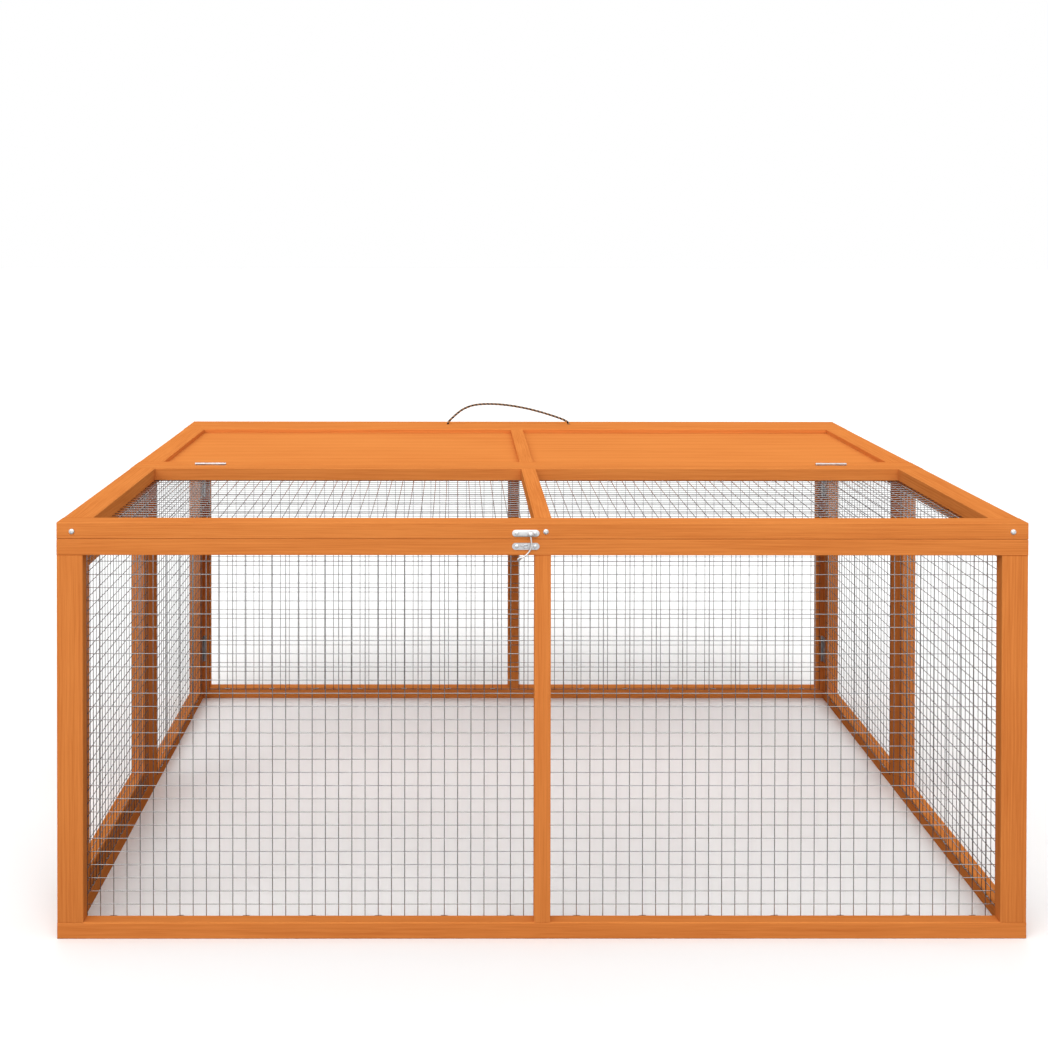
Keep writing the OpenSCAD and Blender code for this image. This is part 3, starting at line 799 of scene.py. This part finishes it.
def staple_shape(width, wire, height):
    """A flat-wire staple whose crown spans x, its legs down through z = 0."""
    half = width / 2
    bend, thick, leg = 0.5 * MM, 0.45 * MM, 1 * MM
    path = [(-half, -leg), (-half, height - bend), (-half + bend, height)]
    path += [(-x, z) for x, z in reversed(path)]
    vertices = []
    last = len(path) - 1
    for i, (x, z) in enumerate(path):
        out = Vector((x, z - height + 0.8 * MM)).normalized()
        if i in (0, last):
            out = Vector((math.copysign(1, x), 0))
        inner = Vector((x, z)) - out * thick
        for y in (-wire / 2, wire / 2):
            vertices.append((x, y, z))
            vertices.append((inner.x, y, inner.y))
    faces = []
    for i in range(last):
        a, b = 4 * i, 4 * (i + 1)
        faces += [
            (a, b, b + 2, a + 2),
            (a + 1, a + 3, b + 3, b + 1),
            (a, a + 1, b + 1, b),
            (a + 2, b + 2, b + 3, a + 3),
        ]
    faces += [(0, 2, 3, 1), (4 * last, 4 * last + 1, 4 * last + 3, 4 * last + 2)]
    mesh = shape(vertices, faces)
    solid = bmesh.new()
    solid.from_mesh(mesh)
    bmesh.ops.recalc_face_normals(solid, faces=solid.faces)
    return written(solid, mesh)


def leaf_places(matrix, length, width, surface):
    """Screws of one hinge leaf, in the leaf's own frame, moved by the matrix."""
    inset = 8 * MM
    x = width * 0.61
    turn = matrix.to_3x3()
    places = []
    for z in (inset, length / 2, length - inset):
        # any angle will do for the recess, as long as it differs from screw to screw
        spin = z * 900
        point = matrix @ Vector((x, surface, z))
        lean = Vector((math.cos(spin), 0, math.sin(spin)))
        places.append((point, turn @ Vector((0, 1, 0)), turn @ lean))
    return places


def mirrored(axis):
    return Matrix.Scale(-1, 4, Vector([1.0 if i == axis else 0.0 for i in range(3)]))


def door_screws(found):
    """Adds the screws of the door's hinges to the places found."""
    low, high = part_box("left_door_hinges")
    proud, length = 1.8 * MM, 38 * MM
    leaf = (length, 13 * MM, -0.8 * MM)
    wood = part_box("left_door_stiles")[0]
    # the pins stand over the middle of the gap beside the door
    axis_y = wood.y - 0.75 * MM
    quarter = Matrix.Rotation(math.pi / 2, 4, "Z")
    for z in (low.z, high.z - length):
        at_axis = Matrix.Translation((wood.x - proud, axis_y, z)) @ quarter
        found["left_door"] += leaf_places(at_axis, *leaf)
        found["left_front_panel"] += leaf_places(at_axis @ mirrored(0), *leaf)


def hinge_screws():
    """Screws of the hinges' leaves: body name to places."""
    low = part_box("front_left_stile")[0]
    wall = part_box("front_top_rail")
    timber, wall_height, inset = 20 * MM, 492 * MM, 70 * MM
    # how far a pin's middle stands off the wood
    proud = 2.5 * MM
    leaf = (sizes().hinge_length, sizes().leaf_width, -1.5 * MM)
    corner = Vector((wall[0].x + timber + proud, wall[1].y + proud, 0))
    heights = (inset, wall_height - inset - sizes().hinge_length)
    swap = Matrix(((0, 1, 0, 0), (1, 0, 0, 0), (0, 0, 1, 0), (0, 0, 0, 1)))
    quarter = Matrix.Rotation(math.pi / 2, 4, "Z")
    found = {body: [] for body in BODIES}
    for z in heights:
        at_corner = Matrix.Translation((corner.x, corner.y, z))
        at_fold = Matrix.Translation((low.x - proud, 0, z))
        for right in (False, True):
            side = mirrored(0) if right else Matrix.Identity(4)
            name = "right" if right else "left"
            for rear in (False, True):
                half = mirrored(1) if rear else Matrix.Identity(4)
                wall_body = "base" if rear else "front_wall"
                panel_body = f"{name}_{'rear' if rear else 'front'}_panel"
                found[wall_body] += leaf_places(side @ half @ at_corner @ mirrored(0), *leaf)
                found[panel_body] += leaf_places(side @ half @ at_corner @ swap, *leaf)
                turn = quarter if rear else quarter @ mirrored(0)
                found[panel_body] += leaf_places(side @ at_fold @ turn, *leaf)
    door_screws(found)
    return found


def staple_places():
    """Staples over the wires on every rail that carries mesh: body name to places."""
    found = {body: [] for body in BODIES}
    pitch = sizes().pitch
    every = 5
    for node in SHEETS:
        matrix = sheet_place(node)
        turn = matrix.to_3x3()
        long_side, short_side = sheet_size(node)
        wires = round(long_side / pitch) + 1
        # the lid's sheet hangs under its wood, so its staples point up
        hangs = node == "lid_mesh"
        surface = 2 * MM if hangs else 0.0
        aim = Vector((0, 0, -1 if hangs else 1))
        chance = random.Random(node)
        for edge, inset in ((-1, 1.4 * MM), (1, 2.4 * MM)):
            for k in range(2, wires - 1, every):
                x = (k - (wires - 1) / 2) * pitch
                y = edge * (short_side / 2 - inset)
                lie = Vector((1, chance.uniform(-0.12, 0.12), 0))
                point = matrix @ Vector((x, y, surface))
                found[body_with(node)].append((point, turn @ aim, turn @ lie))
    return found


class RUN_OT_fasteners(bpy.types.Operator):
    """Makes the hinge screws and the staples that hold the mesh"""

    bl_idname = "run.fasteners"
    bl_label = "Screws and staples"

    def execute(self, context):
        recipe = fastener_recipe()
        screw = screw_head(2.6 * MM, 0.25 * MM, 0.5 * MM)
        staple = staple_shape(9 * MM, 1.1 * MM, 2.4 * MM)
        kinds = (
            ("hinge_screws", screw, hinge_screws(), "plated_steel"),
            ("mesh_staples", staple, staple_places(), "galvanised_wire"),
        )
        for kind, shape_of_one, found, slot in kinds:
            finish = bpy.data.materials[slot]
            pattern = added(f"pattern.{kind}", shape_of_one)
            for body, places in found.items():
                if places:
                    mesh = fastened(recipe, pattern, places, finish)
                    piece(f"{kind}.{body}", mesh, [finish], body)
            bpy.data.objects.remove(pattern)
        return {"FINISHED"}


# -------------------------------------------------------------- hook latches

# A latch is drawn as seen from outside: x to the right from the middle of its
# plates, y up from the underside of the lid and z out from the wood. PLATE is a
# plate's length, width and thickness.
PLATE = (33.6 * MM, 8.4 * MM, 1.2 * MM)
PLATE_GAP = 15.9 * MM
PLATE_SCREWS = (-11.0 * MM, 11.4 * MM)
PIVOT_X = 5.9 * MM
HOOK_OUT = 6.0 * MM
SCREW_INSET = 18.5 * MM

# x and z of what is drawn on the front and on the left side, seen from above
FRONT = ((1, 0), (0, -1))
LEFT = ((0, -1), (-1, 0))


def latch_frames():
    """Each latch's place and its upper plate's height: name to (matrix, height)."""
    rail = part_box("lid_front_rail")[0]
    front = upright(*FRONT, (-21 * MM, rail.y, rail.z))
    side = upright(*LEFT, (rail.x, rail.y + 355 * MM, rail.z))
    return {"front": (front, 7.2 * MM), "side": (side, 11.2 * MM)}


def plate_mesh(height):
    """A pressed plate with round ends and eased edges, flat on the wood."""
    length, width, thick = PLATE
    radius = width / 2
    outline = []
    for end, start in ((1, -90), (-1, 90)):
        for k in range(13):
            a = math.radians(start + 15 * k)
            x = end * (length / 2 - radius) + radius * math.cos(a)
            outline.append((x, height + radius * math.sin(a)))
    return slab(outline, 0, thick, 0.35 * MM, 3)


def upper_fittings(height):
    """The upper plate and the rivet that the hook turns on."""
    base = PLATE[2] - 0.02 * MM
    profile = [
        (0, base),
        (2.5 * MM, base),
        (2.5 * MM, HOOK_OUT - 1.4 * MM),
        (1.3 * MM, HOOK_OUT - 1.4 * MM),
        (1.3 * MM, HOOK_OUT + 1.4 * MM),
        (3.2 * MM, HOOK_OUT + 1.4 * MM),
        (3.15 * MM, HOOK_OUT + 2.0 * MM),
        (2.6 * MM, HOOK_OUT + 2.6 * MM),
        (1.5 * MM, HOOK_OUT + 2.9 * MM),
        (0, HOOK_OUT + 3.0 * MM),
    ]
    rivet = placed(lathe(profile), Matrix.Translation((PIVOT_X, height, 0)))
    return [plate_mesh(height), rivet]


def eye_neck(height):
    """The twisted neck of the lower plate's wire eye, which lies on the plate."""
    wire, apart, turns, steps = 0.5 * MM, 0.55 * MM, 1.5, 30
    level = PLATE[2] + wire + 0.25 * MM
    necks = []
    for strand in range(2):
        line = []
        for k in range(steps + 1):
            t = k / steps
            a = 2 * math.pi * turns * t + math.pi * strand
            x = (-2.6 - 6.4 * t) * MM
            y = height + (0.2 + 1.1 * t) * MM + apart * math.cos(a)
            line.append(Vector((x, y, level + apart * math.sin(a))))
        necks.append(tube(line, lambda i: (wire, wire), 10))
    return necks


def hook_mesh(height):
    """A wire bent round the rivet, down in one bow and flattened at its end."""
    ring, steps = 2.65 * MM, 30
    pivot = Vector((PIVOT_X, height, HOOK_OUT))
    line = []
    for k in range(steps):
        a = math.radians(-55 + 325 * k / (steps - 1))
        line.append(pivot + Vector((ring * math.cos(a), ring * math.sin(a), 0)))
    bow = [(0.1, -4.2), (0.6, -8.5), (0.8, -12.5), (0.2, -17.0), (-1.9, -21.4), (-5.2, -25.2)]
    bow += [(-9.0, -27.9), (-11.6, -29.3), (-13.6, -30.4), (-15.6, -31.5), (-16.6, -32.0)]
    down = [line[-1]] + [pivot + Vector((x * MM, y * MM, 0)) for x, y in bow]
    line += spline(down, 0.9 * MM)[1:]
    lengths = lengths_to(line)

    def size_at(i):
        """Half the wire's thickness and width at point i: it is flat and broad at the end."""
        left = (lengths[-1] - lengths[i]) / MM
        flat = max(0.0, min(1.0, (6.5 - left) / 2.5))
        taper = min(1.0, 0.45 + left * 0.55)
        return (1.0 - 0.4 * flat) * MM * taper, (1.0 + 1.0 * flat) * MM * taper

    # the flat end lies with its broad side to the wood, whichever way the tube's sides face
    swap = abs(frames_along(line)[0][0].z) < 0.5
    return tube(line, (lambda i: size_at(i)[::-1]) if swap else size_at, 14)


class RUN_OT_latches(bpy.types.Operator):
    """Makes the two hook latches, the lid's screws and that of the turn button"""

    bl_idname = "run.latches"
    bl_label = "Latches"

    def execute(self, context):
        steel = bpy.data.materials["plated_steel"]
        head = screw_head(2.5 * MM, 0.9 * MM, 0.5 * MM)
        pan = screw_head(3.6 * MM, 1.9 * MM, 1.6 * MM)
        upper = []
        for name, (matrix, height) in latch_frames().items():
            lower_height = height - PLATE_GAP
            on_lid = upper_fittings(height)
            on_wall = eye_neck(lower_height)
            for x in PLATE_SCREWS:
                for y, fittings in ((height, on_lid), (lower_height, on_wall)):
                    place = Matrix.Translation((x, y, PLATE[2]))
                    spin = Matrix.Rotation(x * 900 + y * 300, 4, "Z")
                    fittings.append(placed(head.copy(), place @ spin))
            upper += [placed(mesh, matrix) for mesh in on_lid]
            lower = placed(joined(on_wall), matrix)
            body = "front_wall" if name == "front" else "left_front_panel"
            piece(f"latch_neck.{name}", lower, [steel], body)
            hook = placed(hook_mesh(height), matrix)
            node = f"{name}_hook"
            piece(f"latch_hook.{name}", hook, [steel], node, [node])
        low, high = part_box("lid_front_rail")
        for x in (low.x + SCREW_INSET, 3.7 * MM, high.x - SCREW_INSET):
            out = upright(*FRONT, (x, low.y, low.z + 9 * MM))
            upper.append(placed(pan.copy(), out @ Matrix.Rotation(x * 7, 4, "Z")))
        name = "lid_plates_and_screws"
        piece(name, joined(upper), [steel], "front_lid", ["lid_fittings"])
        low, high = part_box("door_button")
        out = upright(*LEFT, (low.x - 0.05 * MM, (low.y + high.y) / 2, high.z - 5.5 * MM))
        cap = screw_head(3.8 * MM, 1.3 * MM, 1.0 * MM)
        placed(cap, out @ Matrix.Rotation(0.4, 4, "Z"))
        piece("button_screw", cap, [steel], "left_front_panel")
        bpy.data.meshes.remove(head)
        bpy.data.meshes.remove(pan)
        return {"FINISHED"}


# -------------------------------------------------------------------- timber


class RUN_OT_timber(bpy.types.Operator):
    """Gives every stick and panel its own stained wood, and the hinges their plating"""

    bl_idname = "run.timber"
    bl_label = "Timber and hinges"

    def execute(self, context):
        steel = plated()
        for seed, (name, node) in enumerate(sorted(frame["nodes"].items())):
            if name.endswith(("_rail", "_stile", "_bar", "_board")) or name in TWINS:
                material = stained_fir(name, seed)
            elif name == "roof_panels":
                material = stained_ply(name, seed)
            else:
                material = steel
            node.data.materials.clear()
            node.data.materials.append(material)
        return {"FINISHED"}


# ---------------------------------------------------------------------- rope

# The rope's route in x and in height over the board, in millimetres: up from
# the left knot, over, and down to the right one. It is the frame's own route.
ROUTE = [
    (-122, -9.4), (-122, -6), (-122, -2), (-121.4, 2), (-118.8, 6.4), (-110.5, 14.5), (-102, 22),
    (-92, 28.5), (-78, 34), (-61, 36.7), (-42, 37.2), (-21, 36), (2, 33), (26, 28.3), (49, 22.4),
    (73, 15), (88, 9.6), (96.4, 5.6), (100.2, 1.6), (101, -2), (101, -6), (101, -9.4),
]


def laid(line, diameter, lay):
    """Two dark strands in slot 0 and two light in slot 1, laid round the line, as one mesh."""
    count = 4
    thick = diameter * 0.205
    out = diameter / 2 - thick
    strands = []
    for strand in range(count):
        points = []
        for point, run, (side, up) in zip(line, lengths_to(line), frames_along(line)):
            a = 2 * math.pi * (run / lay + strand / count)
            points.append(point + side * (out * math.cos(a)) + up * (out * math.sin(a)))
        strands.append(tube(points, lambda i: (thick, thick), 8, strand // 2))
    return joined(strands)


def knot_line(centre, size):
    """A trefoil, as an overhand knot pulled tight."""
    steps = 90
    line = []
    for k in range(steps + 1):
        t = 2 * math.pi * k / steps
        x = math.sin(t) + 2 * math.sin(2 * t)
        y = math.cos(t) - 2 * math.cos(2 * t)
        line.append(centre + Vector((x * size, y * size, -math.sin(3 * t) * size * 1.35)))
    return line


class RUN_OT_rope(bpy.types.Operator):
    """Makes the laid rope of the handle and its two knots"""

    bl_idname = "run.rope"
    bl_label = "Rope handle"

    def execute(self, context):
        dark = yarn("rope_dark", colours().rope_dark)
        light = yarn("rope_light", colours().rope_light)
        low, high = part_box("rope_handle")
        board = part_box("rear_board")[1]
        y = (low.y + high.y) / 2
        route = [Vector((x * MM, y, board.z + z * MM)) for x, z in ROUTE]
        line = spline(route, 0.5 * MM)
        mesh = laid(line, sizes().rope, sizes().lay)
        rope = piece("rope", mesh, [dark, light], "base", ["rope_handle"])
        for name, end in (("left", route[0]), ("right", route[-1])):
            # pulled tight, the rope is thinner in the knot
            tight = sizes().rope * 0.82
            knot = knot_line(end - Vector((0, 0, 3.4 * MM)), 0.98 * MM)
            mesh = laid(knot, tight, sizes().lay)
            piece(f"knot.{name}", mesh, [dark, light], "base")
        lengths_to(line)[-1]
        return {"FINISHED"}


# --------------------------------------------------------------------- stage


def lamp(name, light, spread):
    """A wide lamp far away. light is what it adds to a face turned left, front and up.

    spread is the angle that it fills, in degrees.
    """
    toward = Vector((-light[0], -light[1], light[2]))
    data = bpy.data.lights.new(name, "SUN")
    data.angle = math.radians(spread)
    data.energy = math.pi * toward.length
    made = added(name, data)
    made.location = toward.normalized() * 4
    made.rotation_euler = toward.to_track_quat("Z", "Y").to_euler()


def seen_directly(maker):
    """1 for a ray from the camera, and 0 for one that carries light to the object."""
    path = maker.node("ShaderNodeLightPath")
    return maker.math("MAXIMUM", path.outputs["Is Camera Ray"], path.outputs["Is Transmission Ray"])


def grey(value):
    return (value, value, value, 1.0)


def floor_finish():
    """Pale to the eye. What it throws back is dull under the object and pale further off."""
    finish = Finish("pale_floor", {"Roughness": 0.9, "Specular IOR Level": 0.0})
    x, y, _ = finish.coordinates("Object")
    far = finish.rise((x * x + y * y) ** 0.5, 1.1, 2.4)
    # warm to the wood, and neutral where metal mirrors it
    mirrored = finish.node("ShaderNodeLightPath").outputs["Is Glossy Ray"]
    near = finish.mix(mirrored, (0.23, 0.14, 0.11, 1.0), grey(0.16))
    ground = finish.mix(far, near, grey(0.9))
    finish.set("Base Color", finish.mix(seen_directly(finish), ground, grey(0.96)))
    return finish.material


class RUN_OT_stage(bpy.types.Operator):
    """Makes the floor, the light and the camera"""

    bl_idname = "run.stage"
    bl_label = "Stage"

    def execute(self, context):
        scene = context.scene
        scene.view_settings.view_transform = "Standard"
        reach = 30.0
        signs = ((-1, -1), (1, -1), (1, 1), (-1, 1))
        corners = [(reach * x, reach * y, 0) for x, y in signs]
        floor = added("floor", shape(corners, [(0, 1, 2, 3)]))
        floor.data.materials.append(floor_finish())
        self.light_world(scene)
        lamp("key", (0.10, 0.46, 0.37), 80)
        lamp("back", (0.0, -0.12, 0.1), 40)
        self.add_camera(scene)
        return {"FINISHED"}

    def light_world(self, scene):
        """White for the camera. To the object it is a soft band above a dim horizon."""
        world = bpy.data.worlds.new("studio")
        scene.world = world
        world.use_nodes = True
        maker = Maker(world.node_tree)
        world.node_tree.nodes.clear()
        height = maker.coordinates("Generated")[2]
        sky = maker.hill(height, 0.16, 0.42, 0.6, 0.9, after=0.2) * 1.25 + 0.1
        seen = seen_directly(maker)
        sockets = {"Color": grey(1.0), "Strength": seen + (1.0 - seen) * sky}
        glow = maker.node("ShaderNodeBackground", None, sockets)
        maker.node("ShaderNodeOutputWorld", None, {"Surface": glow.outputs[0]})

    def add_camera(self, scene):
        """The photograph's own camera, which looks almost level and is shifted down."""
        data = bpy.data.cameras.new("camera")
        data.lens = 51.85
        data.sensor_width = 36.0
        data.shift_x = 0.0596
        data.shift_y = -0.2646
        camera = added("camera", data)
        camera.location = (-0.10596, -2.32766, 0.87171)
        yaw, pitch, roll = -0.0032, -0.0119, 0.0012
        turn = Matrix.Rotation(yaw, 3, "Z") @ Matrix.Rotation(math.pi / 2 + pitch, 3, "X")
        camera.rotation_euler = (turn @ Matrix.Rotation(roll, 3, "Z")).to_euler()
        scene.camera = camera


# --------------------------------------------------------------------- panel


class RUN_PT_panel(bpy.types.Panel):
    """Lists the run's operators"""

    bl_idname = "RUN_PT_panel"
    bl_label = "Rabbit Run"
    bl_space_type = "VIEW_3D"
    bl_region_type = "UI"
    bl_category = "Rabbit Run"

    def draw(self, context):
        for operator in STEPS:
            self.layout.operator(operator.bl_idname)
        for group in (context.scene.run_sizes, context.scene.run_colours):
            box = self.layout.box()
            for name in group.bl_rna.properties.keys():
                if name not in ("rna_type", "name"):
                    box.prop(group, name)


STEPS = (RUN_OT_stage, RUN_OT_rope, RUN_OT_timber, RUN_OT_mesh, RUN_OT_fasteners, RUN_OT_latches)
CLASSES = (RunSizes, RunColours, *STEPS, RUN_PT_panel)


def register():
    for each in CLASSES:
        bpy.utils.register_class(each)
    bpy.types.Scene.run_sizes = bpy.props.PointerProperty(type=RunSizes)
    bpy.types.Scene.run_colours = bpy.props.PointerProperty(type=RunColours)


def unregister():
    del bpy.types.Scene.run_colours
    del bpy.types.Scene.run_sizes
    for each in reversed(CLASSES):
        bpy.utils.unregister_class(each)


def main():
    """Makes the whole scene."""
    register()
    bpy.ops.run.stage()
    bpy.ops.run.rope()
    bpy.ops.run.timber()
    bpy.ops.run.mesh()
    bpy.ops.run.fasteners()
    bpy.ops.run.latches()


if __name__ == "__main__":
    main()
